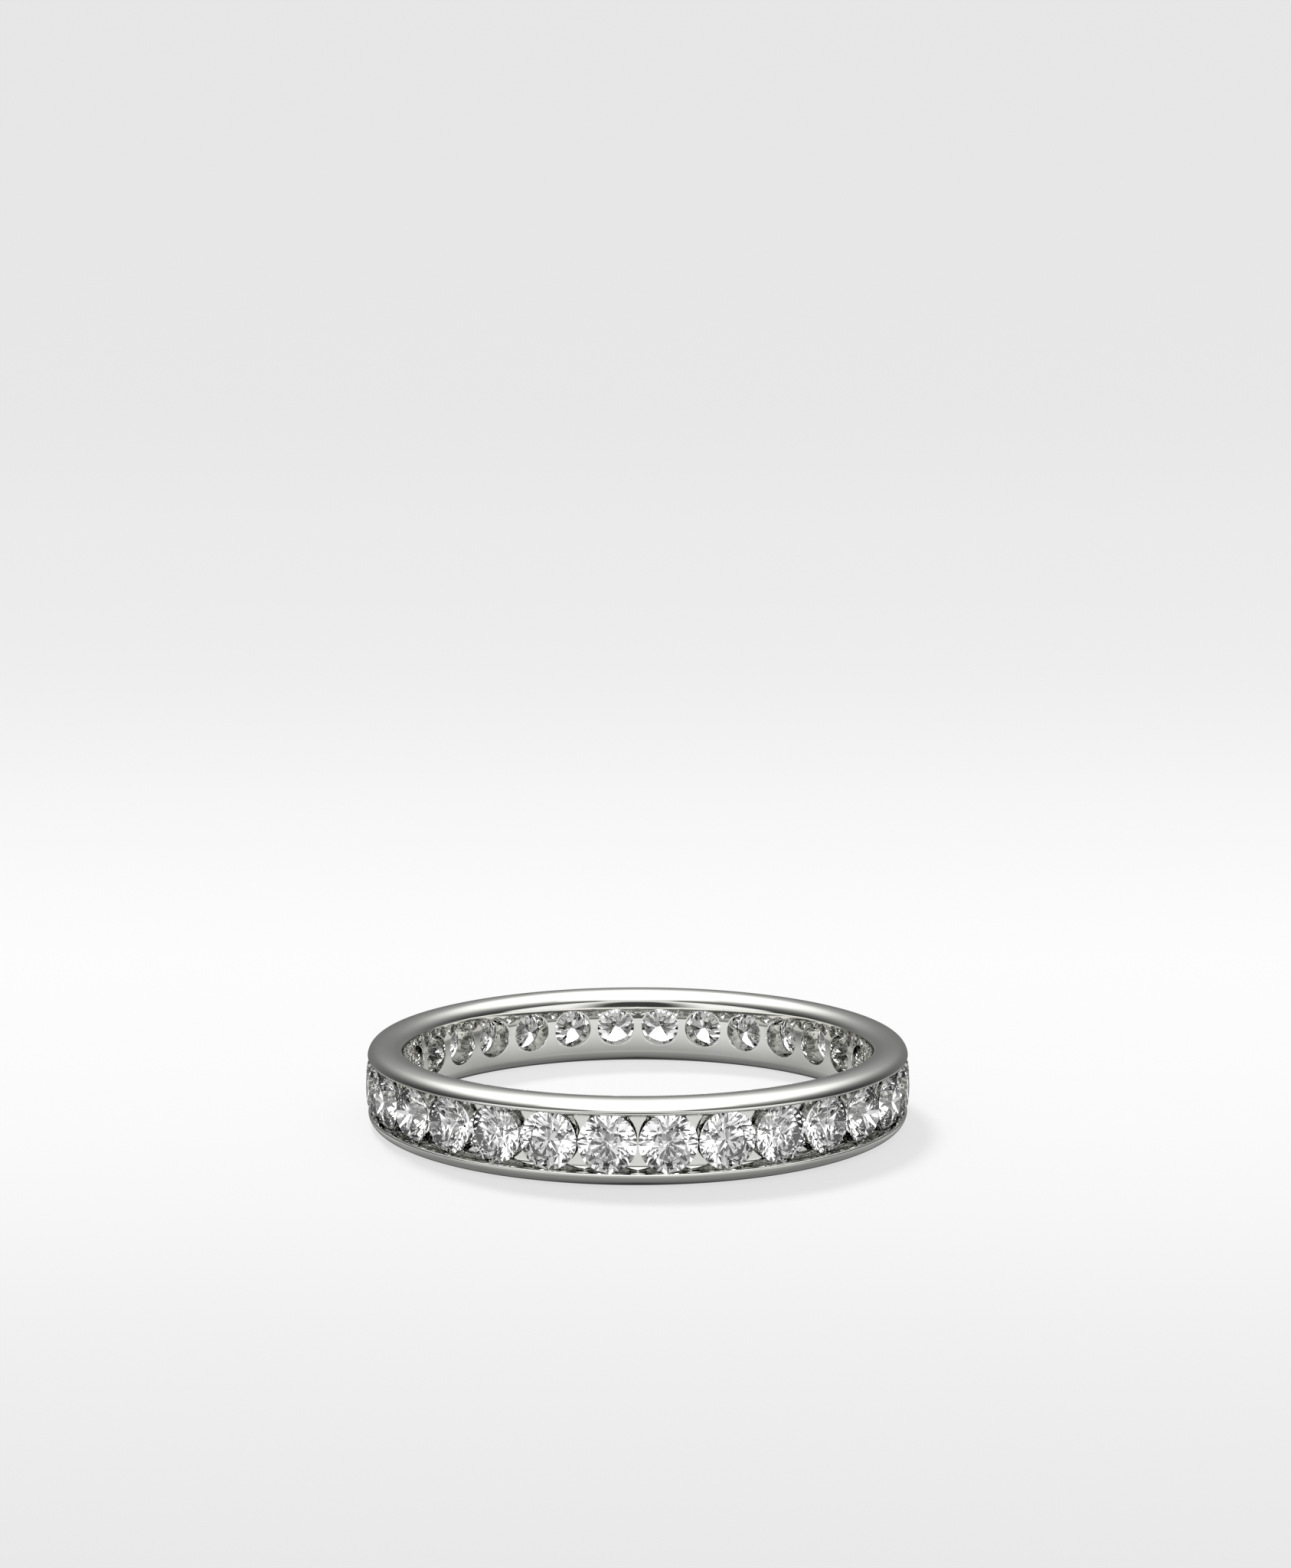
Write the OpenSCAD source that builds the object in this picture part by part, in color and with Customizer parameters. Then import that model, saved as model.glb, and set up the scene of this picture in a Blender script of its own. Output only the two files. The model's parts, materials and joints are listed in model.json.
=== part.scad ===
// Full eternity ring: round brilliant stones held in a channel between two rails,
// right round the band. The ring lies on its side with its axis along Z, and the
// origin is the middle of the circle that it rests on. All sizes are in millimetres.

/* [Finger hole] */
// Diameter of the finger hole where it is narrowest, at mid height
bore_d = 16.92; // [14.0:0.01:22.0]
// How much the domed bore opens out in radius before its edge is rounded
bore_flare = 0.07; // [0.04:0.005:0.12]
// Width of the straight land between the domed bore and its rounded edge
bore_land = 0.06; // [0.04:0.01:0.12]

/* [Stones] */
// Diameter of one stone at its girdle
stone_d = 1.98; // [1.7:0.01:2.6]
// Least gap between the girdles of two neighbours
stone_gap = 0.02; // [0.01:0.005:0.06]
// Width of the table across its corners, as a share of the girdle diameter
table_share = 0.56; // [0.5:0.01:0.64]
// Slope of the eight kite-shaped crown facets
crown_angle = 34.5; // [31:0.5:37]
// Slope of the eight main pavilion facets
pavilion_angle = 40.8; // [39:0.1:43]
// Thickness of the girdle where a kite facet meets it
girdle_t = 0.06; // [0.05:0.005:0.1]
// How far a star facet reaches from the table towards the girdle, as a share
star_share = 0.5; // [0.4:0.05:0.6]
// How far a lower girdle facet reaches towards the culet, as a share
lower_share = 0.77; // [0.65:0.01:0.85]
// Turn of each stone about its own axis
facet_turn = 0; // [0:0.5:45]

/* [Setting] */
// Metal left between a culet and the finger hole
culet_cover = 0.27; // [0.15:0.01:0.5]
// How far the tables stand proud of the rails
table_proud = 0.065; // [0.02:0.005:0.15]
// How far each rail reaches in over the girdles
lip = 0.01; // [0.005:0.005:0.03]
// Clearance between a girdle and the metal behind and above it
seat_clearance = 0.02; // [0.01:0.005:0.04]
// Metal between the floor of the channel and the finger hole
floor_t = 0.86; // [0.75:0.01:0.95]
// Gap all round a pavilion where it enters the hole in the channel's floor
pavilion_gap = 0.06; // [0.03:0.005:0.1]
// Metal left between two open holes where they come out in the finger hole
azure_web = 0.29; // [0.2:0.01:0.5]
// Radius of the rounding between the channel's floor and each of its walls
floor_round = 0.2; // [0.1:0.01:0.22]

/* [Rails] */
// Width of each rail beside the channel
rail_w = 0.49; // [0.42:0.01:0.6]
// Bevel along the mouth of the channel
mouth_bevel = 0.06; // [0.02:0.005:0.08]
// Radius of the crown across a rim
rim_crown = 1.2; // [1.1:0.05:2]
// Slope of a rail's outside, away from the ring's axis, where it meets the bevel
rail_draft = 5; // [1:1:10]
// How far below its crest a rim turns straight into the finger hole
inner_drop = 0.535; // [0.45:0.005:0.6]

/* [Hidden] */
// Facets of the surfaces that go round the ring, and of the seats
ring_fn = 180;
seat_fn = 72;
// Straight steps along the dome of the bore, each rounding of a rim, the crown, and
// each rounded corner of the channel's floor
dome_steps = 10;
round_steps = 12;
crown_steps = 4;
corner_steps = 6;
// How far a cut runs past the surface that it opens
past = 0.02;

bore_r = bore_d / 2;
stone_r = stone_d / 2;

// Heights of one stone, measured from the middle of its girdle
main_count = 8;
main_step = 360 / main_count;
half_step = main_step / 2;
quarter_step = main_step / 4;
girdle_half = girdle_t / 2;
table_r = table_share * stone_r;
table_z = girdle_half + (stone_r - table_r) * tan(crown_angle);
culet_z = -girdle_half - stone_r * tan(pavilion_angle);

// A star facet's lower corner lies where two kite facets meet
star_r = table_r * cos(half_step) * (1 - star_share) + stone_r * star_share;
star_z = girdle_half + (stone_r - star_r * cos(half_step)) * tan(crown_angle);
// A lower girdle facet's end lies where two main pavilion facets meet
lower_r = stone_r * (1 - lower_share);
lower_z = -girdle_half - (stone_r - lower_r * cos(half_step)) * tan(pavilion_angle);
// Between its corners the girdle's edge dips where a girdle facet cuts the round
dip = stone_r * (1 - cos(quarter_step));
upper_slope = (star_z - girdle_half) / ((stone_r - star_r) * cos(quarter_step));
lower_slope = (-lower_z - girdle_half) / ((stone_r - lower_r) * cos(quarter_step));
upper_dip_z = girdle_half - upper_slope * dip;
lower_dip_z = -girdle_half + lower_slope * dip;

// Radii about the ring's axis
girdle_r = bore_r + culet_cover - culet_z;
rail_r = girdle_r + table_z - table_proud;
floor_r = bore_r + floor_t;
land_r = bore_r + bore_flare;

// Stones: as many as fit round the ring with the least gap between two girdles
girdle_low_r = girdle_r - girdle_half;
stone_reach = sqrt(pow(girdle_low_r, 2) + pow(stone_r, 2));
least_half_pitch = atan(stone_r / girdle_low_r) + asin(stone_gap / 2 / stone_reach);
stone_count = floor(180 / least_half_pitch);
pitch = 360 / stone_count;
// The first stone lies half a pitch past the front, so a gap faces the front
first_angle = -90 + pitch / 2;

// Heights of the band
channel_w = stone_d - 2 * lip;
band_h = channel_w + 2 * rail_w;
mid_z = band_h / 2;

// Seats: holes that clear the pavilions in the channel's floor, where the stones
// dip into them, and come out in the bore with the metal between two left standing
ridge_slope = (-lower_z - girdle_half) / (stone_r - lower_r);
pavilion_r = stone_r - (girdle_r - girdle_half - floor_r) / ridge_slope;
seat_r = pavilion_r + pavilion_gap;
azure_r = bore_r * sin(pitch / 2) - azure_web / 2;
seat_slope = (seat_r - azure_r) / floor_t;

// A rim is three arcs, each tangent to the next: a rounding up from the finger hole,
// the crown, and a rounding down to the bevel. Their centres are measured from mid
// height, and the two roundings take the radii that make them tangent to the crown.
crown_c = (rail_r + land_r) / 2;
crown_cz = mid_z - rim_crown;
crown_half = (rail_r - land_r) / 2;
inner_cz = mid_z - inner_drop;
inner_rise = inner_cz - crown_cz;
inner_round = (pow(rim_crown, 2) - pow(crown_half, 2) - pow(inner_rise, 2))
    / 2 / (rim_crown - crown_half);
inner_c = land_r + inner_round;
inner_angle = 180 - atan(inner_rise / (crown_half - inner_round));
edge_z = channel_w / 2 + mouth_bevel;
edge_rise = edge_z - crown_cz;
outer_round = (pow(rim_crown, 2) - pow(crown_half, 2) - pow(edge_rise, 2))
    / 2 / (rim_crown - crown_half * cos(rail_draft) - edge_rise * sin(rail_draft));
outer_c = rail_r - outer_round * cos(rail_draft);
outer_cz = edge_z - outer_round * sin(rail_draft);
outer_angle = atan((outer_cz - crown_cz) / (outer_c - crown_c));

// The dome of the bore is an arc through its crest and the near ends of both lands
dome_half = inner_cz - bore_land;
dome_r = (pow(dome_half, 2) + pow(bore_flare, 2)) / (2 * bore_flare);
dome_angle = asin(dome_half / dome_r);

// Channel, measured from mid height. Its walls stand back behind two lips that reach
// over the girdles, clear of the facets that pass under them, and round into its floor
mouth_z = channel_w / 2;
wall_z = stone_r + seat_clearance;
lip_r = girdle_r + girdle_half + lip * upper_slope + seat_clearance;
flat_z = wall_z - floor_round;

function two_digits(i) = i < 10 ? str("0", i) : str(i);
function stone_name(i) = str("stone_", two_digits(i));
function arc(c, r, from, to, steps) =
    [for (i = [0:steps]) let (a = from + (to - from) * i / steps) c + r * [cos(a), sin(a)]];

// Upper half of the band's section: up the bore, over the rim, down the outside
// and into the channel, ending at mid height
half_section = concat(
    arc([bore_r + dome_r, 0], dome_r, 180, 180 - dome_angle, dome_steps),
    arc([inner_c, inner_cz], inner_round, 180, inner_angle, round_steps),
    arc([crown_c, crown_cz], rim_crown, inner_angle, outer_angle, crown_steps),
    arc([outer_c, outer_cz], outer_round, outer_angle, rail_draft, round_steps),
    [[rail_r - mouth_bevel, mouth_z], [lip_r, mouth_z], [lip_r, wall_z]],
    arc([floor_r + floor_round, flat_z], floor_round, 90, 180, corner_steps)
);
// The lower half is its mirror image, taken backwards, without the crest again
section = concat(
    half_section,
    [for (i = [len(half_section) - 1:-1:1]) [half_section[i].x, -half_section[i].y]]
);

// One seat, open from the channel's floor to the finger hole
module seat() {
    rotate([0, 90, 0]) translate([0, 0, bore_r - azure_r])
        cylinder(
            r1 = azure_r - azure_r * seat_slope,
            r2 = seat_r + past * seat_slope,
            h = azure_r + floor_t + past,
            $fn = seat_fn
        );
}

module band() {
    color([0.8, 0.8, 0.78])
    translate([0, 0, mid_z])
        difference() {
            rotate_extrude($fn = ring_fn) polygon(section);
            for (i = [0:stone_count - 1]) rotate([0, 0, first_angle + i * pitch]) seat();
        }
}

// Corners of the cut: rings of points round the stone's axis, from table to culet
function ring(r, z, first, step) =
    [for (i = [0:360 / step - 1]) [r * cos(first + i * step), r * sin(first + i * step), z]];

// The girdle's edge has four corners for each main facet, of which every second dips
function girdle_ring(z, dip_z) =
    [for (i = [0:4 * main_count - 1])
        let (a = i * quarter_step)
        [stone_r * cos(a), stone_r * sin(a), i % 2 == 0 ? z : dip_z]];

// Round brilliant with its girdle's middle at the origin and its table towards +Z
module brilliant() {
    n = main_count;
    g = 4 * n;
    points = concat(
        ring(table_r, table_z, 0, main_step),
        ring(star_r, star_z, half_step, main_step),
        girdle_ring(girdle_half, upper_dip_z),
        girdle_ring(-girdle_half, lower_dip_z),
        ring(lower_r, lower_z, half_step, main_step),
        [[0, 0, culet_z]]
    );
    table = 0;
    star = table + n;
    upper = star + n;
    lower = upper + g;
    low = lower + g;
    culet = low + n;
    faces = concat(
        [[for (i = [n - 1:-1:0]) table + i]],
        [for (i = [0:n - 1]) [table + i, table + (i + 1) % n, star + i]],
        [for (i = [0:n - 1]) [table + i, star + i, upper + 4 * i, star + (i + n - 1) % n]],
        [for (i = [0:n - 1]) [star + i, upper + 4 * i + 2, upper + 4 * i + 1, upper + 4 * i]],
        [for (i = [0:n - 1]) [star + i, upper + (4 * i + 4) % g, upper + 4 * i + 3, upper + 4 * i + 2]],
        [for (i = [0:g - 1]) [upper + i, upper + (i + 1) % g, lower + (i + 1) % g, lower + i]],
        [for (i = [0:n - 1]) [low + i, lower + 4 * i, lower + 4 * i + 1, lower + 4 * i + 2]],
        [for (i = [0:n - 1]) [low + i, lower + 4 * i + 2, lower + 4 * i + 3, lower + (4 * i + 4) % g]],
        [for (i = [0:n - 1]) [culet, low + (i + n - 1) % n, lower + 4 * i, low + i]]
    );
    polyhedron(points, faces, convexity = 2);
}

module stone(i) {
    color([0.9, 0.93, 0.96])
    rotate([0, 0, first_angle + (i - 1) * pitch])
        translate([girdle_r, 0, mid_z])
            rotate([0, 90, 0]) rotate([0, 0, facet_turn]) brilliant();
}

band();
for (i = [1:stone_count]) stone(i);
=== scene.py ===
# %% [markdown]
# # A full eternity ring, lying on its side
# The ring is a polished white metal band with a channel right round it, and a row
# of round brilliant stones in the channel. Under every stone a round hole opens
# into the finger hole, so light reaches the stone from behind. This lesson takes
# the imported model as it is, gives the stones a clear cut-stone material, builds the
# band again as one finer surface, and sets a pale studio round it.

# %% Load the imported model
import json
import math

import bmesh
import bpy
import numpy as np
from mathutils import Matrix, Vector


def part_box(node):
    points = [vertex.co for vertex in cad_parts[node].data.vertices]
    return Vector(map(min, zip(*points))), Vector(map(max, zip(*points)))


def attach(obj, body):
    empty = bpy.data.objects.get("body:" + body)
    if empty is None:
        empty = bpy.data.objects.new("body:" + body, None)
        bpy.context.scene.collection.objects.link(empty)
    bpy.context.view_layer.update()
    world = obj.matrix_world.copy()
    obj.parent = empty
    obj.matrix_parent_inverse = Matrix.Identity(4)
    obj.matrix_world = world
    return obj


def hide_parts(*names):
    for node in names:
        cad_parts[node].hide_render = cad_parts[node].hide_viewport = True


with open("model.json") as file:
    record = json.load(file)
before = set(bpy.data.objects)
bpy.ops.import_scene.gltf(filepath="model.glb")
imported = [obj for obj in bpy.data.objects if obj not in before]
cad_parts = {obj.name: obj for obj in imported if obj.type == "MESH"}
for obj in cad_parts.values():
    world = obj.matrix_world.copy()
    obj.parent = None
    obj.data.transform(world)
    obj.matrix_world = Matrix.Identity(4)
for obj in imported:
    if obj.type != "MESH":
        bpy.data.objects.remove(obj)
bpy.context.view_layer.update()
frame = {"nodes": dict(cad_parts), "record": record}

MM = 0.001
print("nodes:", len(frame["nodes"]))

# %% [markdown]
# ## Sizes
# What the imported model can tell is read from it: the outside of the rails, the
# height, the finger hole, and how the stones are spaced. The rest are the ring's
# own smaller sizes, in metres.

# %% Sizes from the frame
stone_names = sorted(n for n in frame["nodes"] if n.startswith("stone_"))
stone_count = len(stone_names)
pitch = 2 * math.pi / stone_count

band_low, band_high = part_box("band")
rail_r = band_high.x
band_h = band_high.z - band_low.z
mid_z = (band_low.z + band_high.z) / 2
bore_r = frame["record"]["mounts"][0]["dims"]["r_mm"] * MM

# A gap between two stones faces the front, so the first stone is half a pitch past it
first_angle = -math.pi / 2 + pitch / 2
first_low, first_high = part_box(stone_names[0])
stone_r = (first_high.z - first_low.z) / 2
print(f"{stone_count} stones of {2 * stone_r / MM:.2f} mm")
print(f"the first stone lies at {math.degrees(first_angle):.1f} degrees")

# %% The ring's smaller sizes
culet_cover = 0.27 * MM
girdle_t = 0.06 * MM
pavilion_slope = math.tan(math.radians(40.8))
lower_share = 0.77
lip = 0.01 * MM
clearance = 0.02 * MM
floor_t = 0.86 * MM
pavilion_gap = 0.06 * MM
azure_web = 0.29 * MM
floor_round = 0.2 * MM
mouth_round = 0.06 * MM
bore_flare = 0.07 * MM
rim_crown = 1.2 * MM
rail_draft = math.radians(5)
inner_drop = 0.535 * MM
hole_round = 0.004 * MM

floor_r = bore_r + floor_t
land_r = bore_r + bore_flare
girdle_r = bore_r + culet_cover + girdle_t / 2 + stone_r * pavilion_slope
mouth_z = stone_r - lip
wall_z = stone_r + clearance
lip_r = girdle_r + girdle_t / 2 + lip + clearance
flat_z = wall_z - floor_round
print(f"channel {2 * mouth_z / MM:.2f} mm wide, its floor at {floor_r / MM:.2f} mm")
print(f"girdles at {girdle_r / MM:.3f} mm")

# %% [markdown]
# ## The camera
# A camera is known by where it stands and by the lens on it. The ring is seen from
# a little above its front, from near enough that the far side looks smaller. The
# ring's middle lies left of the picture's middle and well below it, and the camera
# is turned until it does, with no shift.

# %% Camera
image_w, image_h = 1686, 2048
focal_px = 3122
sensor = 36.0
camera_distance = 88.77 * MM
camera_elevation = math.radians(13.31)
middle_px = (833.0, 1405.2)


def aim(px, elevation):
    """Pitch and yaw that put the aimed point at pixel px, seen from that elevation.

    Right and up of the pixel over the focal length are tangents. The pitch adds the
    angle up the image to the elevation, and the yaw is the angle across it.
    """
    right = (px[0] - image_w / 2) / focal_px
    up = (image_h / 2 - px[1]) / focal_px
    reach = math.sqrt(1 + right ** 2 + up ** 2)
    pitch_down = math.atan(up) + math.asin(math.sin(elevation) * reach / math.sqrt(1 + up ** 2))
    ahead = math.cos(pitch_down) + up * math.sin(pitch_down)
    return pitch_down, math.atan2(right, ahead)


camera_data = bpy.data.cameras.new("camera")
camera_data.lens = focal_px * sensor / image_h
camera_data.sensor_width = sensor
camera_data.clip_start = 1 * MM
camera_data.clip_end = 10.0
camera = bpy.data.objects.new("camera", camera_data)
pitch_down, yaw = aim(middle_px, camera_elevation)
camera.location = (
    0,
    -camera_distance * math.cos(camera_elevation),
    mid_z + camera_distance * math.sin(camera_elevation),
)
camera.rotation_euler = (math.pi / 2 - pitch_down, 0, yaw)
bpy.context.scene.collection.objects.link(camera)
bpy.context.scene.camera = camera
print(f"lens {camera_data.lens:.2f} mm")
print(f"pitch {math.degrees(pitch_down):.3f}, yaw {math.degrees(yaw):.3f} degrees")

# %% [markdown]
# ## The section of the band
# A goldsmith turns the blank, so all of the band but its holes is one section
# carried round the axis. The finger hole is slightly domed for comfort, each rim is
# three arcs that run into one another, and the channel has a softened mouth, two lips
# that reach over the girdles, and walls that round into its floor. A Bevel modifier
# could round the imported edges, but arcs that share a tangent reflect the studio
# without a break, which a bevel can't do, and the round corner of the floor draws a
# dark line with a bright one beside it.


# %% Arcs of one rim
def arc(centre, radius, start, end, steps):
    """Points on a circle: the centre plus the radius times cosine and sine of even angles."""
    a = np.linspace(start, end, steps + 1)
    return np.stack([centre[0] + radius * np.cos(a), centre[1] + radius * np.sin(a)], axis=1)


crown_c = (rail_r + land_r) / 2
crown_half = (rail_r - land_r) / 2
crown_cz = band_h / 2 - rim_crown
inner_cz = band_h / 2 - inner_drop
inner_rise = inner_cz - crown_cz
inner_round = (rim_crown ** 2 - crown_half ** 2 - inner_rise ** 2) / 2 / (rim_crown - crown_half)
inner_c = land_r + inner_round
inner_angle = math.atan2(inner_rise, inner_c - crown_c)
edge_z = mouth_z + mouth_round
edge_rise = edge_z - crown_cz
draft_reach = crown_half * math.cos(rail_draft) + edge_rise * math.sin(rail_draft)
outer_round = (rim_crown ** 2 - crown_half ** 2 - edge_rise ** 2) / 2 / (rim_crown - draft_reach)
outer_c = rail_r - outer_round * math.cos(rail_draft)
outer_cz = edge_z - outer_round * math.sin(rail_draft)
outer_angle = math.atan2(outer_cz - crown_cz, outer_c - crown_c)

# The dome's arc passes the crest of the bore and runs into the inner rounding
dome_r = inner_round + bore_flare / 2 + inner_cz ** 2 / 2 / bore_flare
dome_c = bore_r + dome_r
dome_end = math.atan2(inner_cz, dome_c - inner_c)
print(f"dome {dome_r / MM:.2f} mm, roundings {inner_round / MM:.3f} and {outer_round / MM:.3f} mm")


# %% The half section, from the pierced part of the bore to the channel's floor
plate_z = 0.8 * MM
half_section = np.concatenate([
    arc((dome_c, 0), dome_r, math.pi - math.asin(plate_z / dome_r), math.pi - dome_end, 4),
    arc((inner_c, inner_cz), inner_round, math.pi - dome_end, inner_angle, 14)[1:],
    arc((crown_c, crown_cz), rim_crown, inner_angle, outer_angle, 8)[1:],
    arc((outer_c, outer_cz), outer_round, outer_angle, rail_draft, 12)[1:],
    arc((rail_r - mouth_round, edge_z), mouth_round, 0, -math.pi / 2, 6)[1:],
    [(lip_r, mouth_z), (lip_r, wall_z)],
    arc((floor_r + floor_round, flat_z), floor_round, math.pi / 2, math.pi, 10),
])
print("points in the half section:", len(half_section))

# %% [markdown]
# ## One seat
# Between the two halves lie the bore's wall and the channel's floor, with a drilled
# seat through both for every stone. One seat is a stack of closed loops: it starts
# as the outline of one pitch of the floor, closes on the hole's edge, goes down its
# wall, rounds over the edge in the bore and opens out to the outline of one pitch of
# the bore. Each loop has as many points as the next, so the whole seat is one grid.
# The hole widens by a hair from the bore to the floor, so its wall is a cone that is
# all but straight.

# %% Loops and the surfaces that they lie on
per_side = 16


def bore_radius(z):
    """Radius of the domed bore at height z: the dome's centre less the arc's reach there."""
    return dome_c - np.sqrt(dome_r ** 2 - z ** 2)


def floor_radius(z):
    """Radius of the channel's floor, the same at any height."""
    return np.full_like(z, floor_r)


def outline(half_angle, half_z):
    """A rectangle in angle and height as one closed loop, from its lower right corner."""
    t = np.linspace(-1, 1, per_side, endpoint=False)
    one = np.ones(per_side)
    loop = [np.stack(side, axis=1) for side in ((one, t), (-t, one), (-one, -t), (t, -one))]
    return np.concatenate(loop) * (half_angle, half_z)


square = outline(1, 1)
seat_turn = np.arctan2(square[:, 1], square[:, 0])
ridge_r = stone_r * (1 - lower_share)
ridge_slope = (stone_r - ridge_r * math.cos(math.pi / 8)) * pavilion_slope / (stone_r - ridge_r)
seat_r = stone_r - (girdle_r - girdle_t / 2 - floor_r) / ridge_slope + pavilion_gap
azure_r = bore_r * math.sin(pitch / 2) - azure_web / 2
seat_slope = (seat_r - azure_r) / floor_t


def seat_loop(surface, wider=0.0, deeper=0.0):
    """The seat's cone where it meets a surface of revolution, found by stepping between the two.

    The cone's radius grows with the distance along its axis. Cosine and sine of the
    turn give a point on it, and the surface gives that point's distance again.
    """
    x = surface(np.zeros(len(seat_turn)))
    for _ in range(4):
        rho = azure_r + (x - bore_r) * seat_slope + wider
        y, z = rho * np.cos(seat_turn), rho * np.sin(seat_turn)
        x = np.sqrt(surface(z) ** 2 - y ** 2)
    return np.stack([x + deeper, y, z], axis=1)


# %% The stack of loops
def plate(surface, half_z, shares, wider=0.0):
    """Loops on a surface from the seat's edge, share 0, to the outline of one pitch, share 1.

    Angle and height are mixed in those shares, and the surface gives the radius.
    """
    edge = seat_loop(surface, wider)
    start = np.stack([np.arctan2(edge[:, 1], edge[:, 0]), edge[:, 2]], axis=1)
    end = outline(pitch / 2, half_z)
    mix = start + (end - start) * np.asarray(shares)[:, None, None]
    r = surface(mix[..., 1])
    return np.stack([r * np.cos(mix[..., 0]), r * np.sin(mix[..., 0]), mix[..., 1]], axis=-1)


round_over = np.radians([90, 60, 30])
rounded = [
    seat_loop(bore_radius, hole_round * (1 - math.sin(a)), hole_round * (1 - math.cos(a)))
    for a in round_over
]
cone_top = seat_loop(floor_radius)
cone = [cone_top + (rounded[0] - cone_top) * share for share in (1 / 3, 2 / 3)]
seat_grid = np.concatenate([
    plate(floor_radius, flat_z, [1, 0.75, 0.5, 0.25, 0]),
    cone,
    rounded,
    plate(bore_radius, plate_z, [0, 0.2, 0.45, 0.7, 1], hole_round),
])
print("one seat:", seat_grid.shape[0], "loops of", seat_grid.shape[1], "points")


# %% [markdown]
# ## The whole band
# The seat is turned to each stone, the half section is carried round once above and
# once below the middle, and the shared edges are welded. A closed surface has two
# faces at every edge, which is tested, and its faces are then turned outwards.


# %% Helpers for grids and meshes
def turned(points, angles):
    """Points turned about Z by each angle, the first axis: x cos - y sin, x sin + y cos."""
    c, s = np.cos(angles)[:, None, None], np.sin(angles)[:, None, None]
    x, y, z = points[..., 0], points[..., 1], points[..., 2]
    heights = np.broadcast_to(z, (len(angles),) + z.shape)
    return np.stack([x * c - y * s, x * s + y * c, heights], axis=-1)


def loop_faces(rows, columns):
    """Quads of a grid whose rows are closed loops: the point, its right, and both one row on."""
    r, c = np.meshgrid(np.arange(rows - 1), np.arange(columns), indexing="ij")
    here, right = r * columns + c, r * columns + (c + 1) % columns
    return np.stack([here, right, right + columns, here + columns], axis=-1).reshape(-1, 4)


def welded_object(name, parts, sharp_degrees):
    """One object from (points, faces) pairs, its doubles merged, its normals outwards."""
    offsets = np.cumsum([0] + [len(points) for points, _ in parts[:-1]])
    points = np.concatenate([points for points, _ in parts])
    faces = np.concatenate([faces + offset for (_, faces), offset in zip(parts, offsets)])
    mesh = bpy.data.meshes.new(name)
    mesh.from_pydata(points.tolist(), [], faces.tolist())
    work = bmesh.new()
    work.from_mesh(mesh)
    bmesh.ops.remove_doubles(work, verts=work.verts, dist=1e-4 * MM)
    bmesh.ops.recalc_face_normals(work, faces=work.faces)
    open_edges = sum(len(e.link_faces) != 2 for e in work.edges)
    volume = work.calc_volume(signed=True)
    work.to_mesh(mesh)
    work.free()
    mesh.shade_smooth()
    mesh.set_sharp_from_angle(angle=math.radians(sharp_degrees))
    made = bpy.data.objects.new(name, mesh)
    bpy.context.scene.collection.objects.link(made)
    print(f"{name}: {len(mesh.polygons)} faces, {open_edges} open edges")
    print(f"{name}: {volume / MM ** 3:.2f} cubic mm")
    return made


# %% Band
seat_angles = first_angle + pitch * np.arange(stone_count)
seats = turned(seat_grid, seat_angles)
seat_rows, seat_columns = seat_grid.shape[:2]
seat_faces = loop_faces(seat_rows, seat_columns)
seat_offsets = np.arange(stone_count)[:, None, None] * seat_rows * seat_columns
parts = [(seats.reshape(-1, 3), (seat_faces + seat_offsets).reshape(-1, 4))]

round_angles = first_angle - pitch / 2 + pitch / per_side * np.arange(per_side * stone_count)
for side in (1, -1):
    r, z = half_section[:, None, 0], half_section[:, None, 1] * side
    x, y = r * np.cos(round_angles), r * np.sin(round_angles)
    swept = np.stack([x, y, np.broadcast_to(z, x.shape)], axis=-1)
    parts.append((swept.reshape(-1, 3), loop_faces(len(half_section), len(round_angles))))

parts = [(points + (0, 0, mid_z), faces) for points, faces in parts]
band = welded_object("polished_band", parts, sharp_degrees=28)
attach(band, "root")
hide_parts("band")

# %% [markdown]
# ## Finishes
# A material is a small program on points of the surface. One class below holds a
# socket, so that sums and products of sockets read as in arithmetic, and one method
# adds any other node.


# %% A socket that can be reckoned with
class Wire:
    """An output socket in a node tree. Sums, differences and products of it add Math nodes."""

    def __init__(self, tree, socket):
        self.tree = tree
        self.socket = socket

    def math(self, operation, *values, clamp=False):
        node = self.tree.nodes.new("ShaderNodeMath")
        node.operation = operation
        node.use_clamp = clamp
        for slot, value in zip(node.inputs, values):
            if isinstance(value, Wire):
                self.tree.links.new(value.socket, slot)
            else:
                slot.default_value = value
        return Wire(self.tree, node.outputs[0])

    def __add__(self, other):
        return self.math("ADD", self, other)

    def __sub__(self, other):
        return self.math("SUBTRACT", self, other)

    def __rsub__(self, other):
        return self.math("SUBTRACT", other, self)

    def __mul__(self, other):
        return self.math("MULTIPLY", self, other)

    def __truediv__(self, other):
        return self.math("DIVIDE", self, other)

    def __pow__(self, other):
        return self.math("POWER", self, other)

    __radd__ = __add__
    __rmul__ = __mul__

    def most(self, other):
        """The greater of two."""
        return self.math("MAXIMUM", self, other)

    def smooth(self, low, high):
        """0 below low, 1 above high, and a smooth step between."""
        share = self.math("DIVIDE", self - low, high - low, clamp=True)
        return share * share * (3 - 2 * share)


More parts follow.
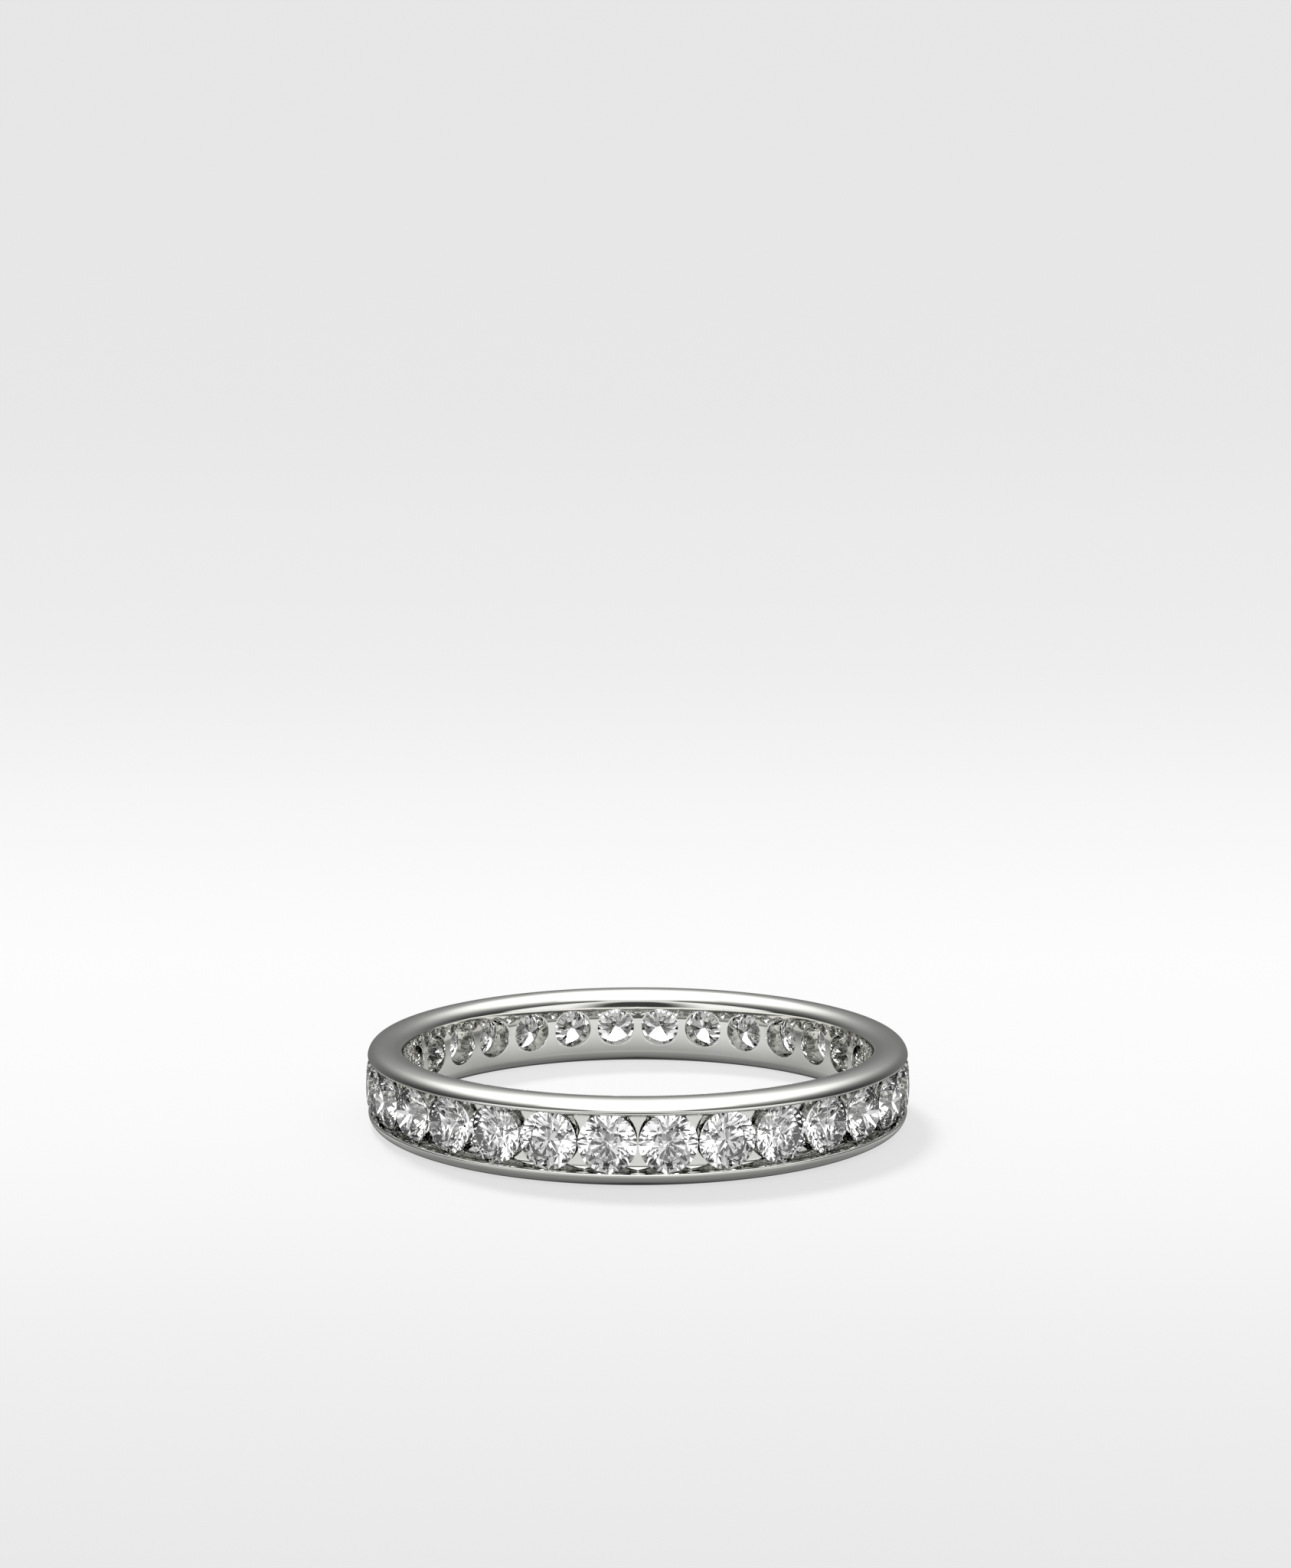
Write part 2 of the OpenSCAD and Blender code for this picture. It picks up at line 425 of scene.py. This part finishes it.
class Finish:
    """A node tree that starts empty, and one method that adds any node to it."""

    def __init__(self, owner):
        owner.use_nodes = True
        self.tree = owner.node_tree
        self.tree.nodes.clear()

    def add(self, kind, settings=None, output=0, **sockets):
        """A node of a kind, its settings set first, then its sockets by name with _ for a space."""
        node = self.tree.nodes.new(kind)
        for name, value in (settings or {}).items():
            setattr(node, name, value)
        for name, value in sockets.items():
            key = int(name[1:]) if name[1:].isdigit() else name.replace("_", " ")
            if isinstance(value, Wire):
                self.tree.links.new(value.socket, node.inputs[key])
            else:
                node.inputs[key].default_value = value
        return Wire(self.tree, node.outputs[output]) if len(node.outputs) else None

    def parts(self, vector):
        """The three numbers of a vector."""
        split = self.add("ShaderNodeSeparateXYZ", Vector=vector).socket.node
        return [Wire(self.tree, output) for output in split.outputs]

    def ramp(self, fac, stops):
        """A ramp of (place, colour) stops read at fac. A single number stands for a grey."""
        wire = self.add("ShaderNodeValToRGB", Fac=fac)
        ramp = wire.socket.node.color_ramp
        while len(ramp.elements) < len(stops):
            ramp.elements.new(0.5)
        for element, (place, colour) in zip(ramp.elements, stops):
            element.position = place
            element.color = (*colour, 1) if isinstance(colour, tuple) else (colour,) * 3 + (1,)
        return wire


def finish_named(name):
    """A new material and the Finish that fills it."""
    material = bpy.data.materials.new(name)
    return material, Finish(material)


# %% [markdown]
# ### Polished white metal
# Rhodium-bright white gold is a mirror with a faint warm grey of its own. Under a
# lens its polish is not quite even: there are soft clouds where the buff dwelt, and
# very fine lines that run round the ring. Both change the roughness by a hair, and
# the lines lift the surface by less than a micrometre.


# %% White metal
def white_metal():
    material, finish = finish_named("white_metal_polished")
    place = finish.add("ShaderNodeTexCoord", output="Object")
    noise = "ShaderNodeTexNoise"
    clouds = finish.add(noise, Vector=place, Scale=420.0, Detail=3.0, Roughness=0.55)
    squeezed = finish.add("ShaderNodeMapping", Vector=place, Scale=(1.0, 1.0, 14.0))
    lines = finish.add(noise, Vector=squeezed, Scale=1500.0, Detail=4.0, Roughness=0.6)
    polish = clouds.smooth(0.35, 0.7)
    tint = finish.ramp(polish, [(0.0, (0.79, 0.79, 0.755)), (1.0, (0.83, 0.83, 0.8))])
    bump = finish.add("ShaderNodeBump", Strength=0.12, Distance=0.4e-6, Height=lines)
    shader = finish.add(
        "ShaderNodeBsdfPrincipled",
        Base_Color=tint,
        Metallic=1.0,
        Roughness=0.02 + 0.02 * polish + 0.015 * lines,
        Normal=bump,
    )
    finish.add("ShaderNodeOutputMaterial", Surface=shader)
    return material


band.data.materials.append(white_metal())

# %% [markdown]
# ### Cut stones
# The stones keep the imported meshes, because flat facets are exactly what a cut stone
# has. A diamond bends light strongly, which a glass of index 2.42 shows. It bends blue
# a little more than red, which gives a large stone its fire. Two glasses of unlike
# index added up would show that, but on stones as small as these it comes out as
# coloured speckle, so one glass is used. The girdle, the thin belt between the
# upper and the lower facets, is left ground and not polished, so it is frosted. A
# point belongs to it when its distance from the ring's axis, measured along the
# nearest stone's own axis, is that of the belt.


# %% Cut stone
stone_index = 2.42
ground_roughness = 0.12


def cut_stone():
    """Clear glass, and ground glass on the belt.

    The belt is where the distance from the axis, times the cosine of the turn from
    the nearest stone's middle, is within half the girdle's thickness of its radius.
    """
    material, finish = finish_named("clear_cut_stone")
    x, y, z = finish.parts(finish.add("ShaderNodeTexCoord", output="Object"))
    stones_round = (y.math("ARCTAN2", y, x) - first_angle) / pitch + 0.5
    off_middle = (stones_round.math("FRACT", stones_round) - 0.5) * pitch
    along = (x * x + y * y) ** 0.5 * off_middle.math("COSINE", off_middle)
    off_belt = along.math("ABSOLUTE", along - girdle_r) / (girdle_t / 2)
    belt = 1 - off_belt.smooth(0.8, 1.0)
    clear, ground = [
        finish.add("ShaderNodeBsdfGlass", {"distribution": "GGX"}, Roughness=rough, IOR=stone_index)
        for rough in (0.0, ground_roughness)
    ]
    whole = finish.add("ShaderNodeMixShader", _0=belt, _1=clear, _2=ground)
    finish.add("ShaderNodeOutputMaterial", Surface=whole)
    return material


stone_material = cut_stone()
for name in stone_names:
    for slot in frame["nodes"][name].material_slots:
        slot.material = stone_material
print("stones dressed:", len(stone_names))

# %% [markdown]
# ## The studio
# A mirror has no look of its own, so the studio is half of the finish. A product
# photographer works in a white tent. Overhead it is bright, and it falls off to a
# dark room at the horizon. The pale table shows below. In front hang a softbox over
# the camera and two low white cards, one on either side, and between the cards is
# the dark gap that the camera looks through. The world is painted with these few
# things, each with soft edges, by two angles: how high a direction points, and how
# far round from the front it lies. Either side is the mirror image of the other.
# Cut stones want harder light than polished metal does. For the rays that leave a
# stone the sides are brighter than the front, where the photographer stands, and the
# back is brighter still, and each brightness is then raised to a power, which deepens
# the darks. Past the paper's edge the camera itself sees a plain pale room.


# %% Brightness of the ceiling and of the table, by how high a direction points
ceiling_stops = (
    (-0.09, 0.04), (0.05, 0.05), (0.16, 0.07), (0.26, 0.115), (0.34, 0.175), (0.42, 0.25),
    (0.485, 0.36), (0.545, 0.53), (0.602, 0.73), (0.656, 1.0), (0.707, 1.2), (0.78, 1.35), (1, 1.5),
)
table_stops = (
    (-1, 0.18), (-0.9, 0.25), (-0.73, 0.3), (-0.6, 0.34), (-0.53, 0.46), (-0.47, 0.42),
    (-0.38, 0.6), (-0.28, 0.78), (-0.12, 0.87), (-0.05, 0.85),
)
softbox_light, card_light, skirt_light, haze_light, room_light = 1.3, 1.14, 0.7, 0.15, 0.93
print("brightest, overhead:", ceiling_stops[-1][1])


# %% Tent, table, softbox and cards
def tent():
    """The greatest of the lights in each direction.

    Each light is a product of smooth steps in the two angles, in degrees. The ramps
    read half of the direction's height plus a half, which runs from 0 to 1.
    """
    world = bpy.data.worlds.new("studio")
    bpy.context.scene.world = world
    finish = Finish(world)
    direction = finish.add("ShaderNodeTexCoord", output="Generated")
    x, y, z = finish.parts(direction)
    rise = z.math("DEGREES", z.math("ARCSINE", z))
    turn = x.math("DEGREES", x.math("ARCTAN2", x.math("ABSOLUTE", x), 0 - y))

    brightest = ceiling_stops[-1][1]
    ceiling = finish.ramp(z * 0.5 + 0.5, [((s + 1) / 2, v / brightest) for s, v in ceiling_stops])
    ceiling = ceiling * brightest
    haze = haze_light * turn.smooth(95, 155) * (1 - rise.smooth(24, 48)) * rise.smooth(-14, -6)

    # The table is dimmer at the sides and behind, and its edge lies lower there too
    table = finish.ramp(z * 0.5 + 0.5, [((s + 1) / 2, v) for s, v in table_stops])
    table = table * (1 - 0.22 * turn.smooth(60, 100) - 0.55 * turn.smooth(135, 172))
    to_side = turn.smooth(62, 92)
    near_edge, side_edge = 1 - rise.smooth(-5, -1), 1 - rise.smooth(-18, -4)
    table = table * (near_edge + (side_edge - near_edge) * to_side)

    # The softbox's lower edge rises as it goes round, and a skirt hangs from its middle
    softbox = softbox_light * (rise - 0.27 * turn).smooth(17, 25) * (1 - turn.smooth(44, 56))
    skirt = skirt_light * rise.smooth(8, 12) * (1 - turn.smooth(14, 26))
    # Each card ends slantwise towards the front, and its top edge falls towards the side
    card_ends = (turn + 2.2 * rise).smooth(20, 46) * (1 - turn.smooth(66, 77))
    card_edges = (1 - (rise + 0.21 * turn).smooth(16, 22)) * rise.smooth(-8, -1)
    card = card_light * card_ends * card_edges

    light = (ceiling + haze).most(table).most(softbox).most(skirt).most(card)
    from_stone = finish.add("ShaderNodeLightPath", output="Is Transmission Ray")
    gain = 1 + from_stone * (0.75 * turn.smooth(30, 70) + 0.25 * turn.smooth(90, 150))
    light = (light * gain) ** (1 + from_stone)
    to_camera = finish.add("ShaderNodeLightPath", output="Is Camera Ray")
    light = light * (1 - to_camera) + room_light * to_camera
    background = finish.add("ShaderNodeBackground", Color=light, Strength=1.0)
    finish.add("ShaderNodeOutputWorld", Surface=background)


tent()

# %% [markdown]
# ### The paper
# Under the ring lies a sheet of white paper that rises behind it in one slow curve,
# so there is no edge in the picture. Most of its tone is painted light: the paper glows
# by itself, more or less by how far back it lies, so the ring's shadow on it is faint.


# %% Paper sweep
def sweep_object():
    """A profile carried across in X, whose height is a power of the way back."""
    start, depth, rise, power, half_width = 0.1, 0.65, 0.9, 3.2, 0.9
    t = np.linspace(0, 1, 49)
    y = np.concatenate([[-half_width], start + depth * t])
    z = np.concatenate([[0], rise * t ** power])
    x = np.linspace(-half_width, half_width, 7)
    grid = np.broadcast_arrays(x[None, :], y[:, None], z[:, None])
    points = np.stack(grid, axis=-1).reshape(-1, 3)
    r, c = np.meshgrid(np.arange(len(y) - 1), np.arange(len(x) - 1), indexing="ij")
    here = r * len(x) + c
    faces = np.stack([here, here + 1, here + len(x) + 1, here + len(x)], axis=-1).reshape(-1, 4)
    mesh = bpy.data.meshes.new("paper_sweep")
    mesh.from_pydata(points.tolist(), [], faces.tolist())
    mesh.shade_smooth()
    made = bpy.data.objects.new("paper_sweep", mesh)
    bpy.context.scene.collection.objects.link(made)
    made.visible_glossy = False
    made.visible_transmission = False
    return made


# %% Painted glow of the paper, by how far back it is in metres
painted_glow_stops = (
    (-0.04, 0.517), (-0.0255, 0.582), (-0.0123, 0.651), (-0.0033, 0.68), (0.0082, 0.7),
    (0.03, 0.721), (0.075, 0.709), (0.125, 0.705), (0.194, 0.712), (0.252, 0.717), (0.3, 0.709),
    (0.35, 0.684), (0.46, 0.685),
)
painted_glow_start, painted_glow_length = -0.05, 0.6


def paper():
    material, finish = finish_named("paper_painted_glow")
    material.cycles.emission_sampling = "NONE"
    place = finish.add("ShaderNodeTexCoord", output="Object")
    x, y, z = finish.parts(place)
    # Painted light: the paper's own glow, read from how far back the point lies
    back = (y - painted_glow_start) / painted_glow_length
    painted_glow = finish.ramp(back, [((at - painted_glow_start) / painted_glow_length, v) for at, v in painted_glow_stops])
    # Only a small dark share of the tone is lit, so under the painted glow the ring's shadow is
    # faint
    shader = finish.add(
        "ShaderNodeBsdfPrincipled",
        Base_Color=(0.12, 0.12, 0.12, 1),
        Roughness=0.9,
        Emission_Color=painted_glow,
        Emission_Strength=1.0,
    )
    shader.socket.node.inputs["Specular IOR Level"].default_value = 0.0
    finish.add("ShaderNodeOutputMaterial", Surface=shader)
    return material


sweep_object().data.materials.append(paper())

# %% [markdown]
# ### The lamp for the shadow
# The tent gives no shadow to speak of. One soft lamp far off, high behind the ring
# and to the left, lays the shadow towards the lower right. It is large in the sky,
# so the shadow's edge is soft, and the metal and the stones don't mirror it.


# %% Far soft lamp
def far_lamp(name, toward, spread, strength):
    """A sun that shines from the direction toward, spread over an angle in degrees."""
    data = bpy.data.lights.new(name, "SUN")
    data.angle = math.radians(spread)
    data.energy = strength
    made = bpy.data.objects.new(name, data)
    made.location = Vector(toward)
    made.rotation_euler = Vector(toward).to_track_quat("Z", "Y").to_euler()
    bpy.context.scene.collection.objects.link(made)
    made.visible_glossy = False
    made.visible_transmission = False
    return made


lamp_toward = (-0.25, 0.55, 0.75)
lamp_spread = 15
lamp_strength = 6.2
far_lamp("key", lamp_toward, lamp_spread, lamp_strength)
print(f"the lamp stands toward {lamp_toward}, {lamp_spread} degrees across")

# %% [markdown]
# ### How far light is followed
# Light can run round inside a stone and between it and the polished metal for a long
# time. The more turns a ray may take, the paler and the noisier the deep parts of
# the setting come out, and a real setting looks dark there. A dozen turns keep the
# sparkle and the dark.

# %% Colour and light paths
scene = bpy.context.scene
scene.view_settings.view_transform = "Standard"
scene.cycles.max_bounces = 12
scene.cycles.transmission_bounces = 10
scene.cycles.glossy_bounces = 4
print("turns a ray may take:", scene.cycles.max_bounces)
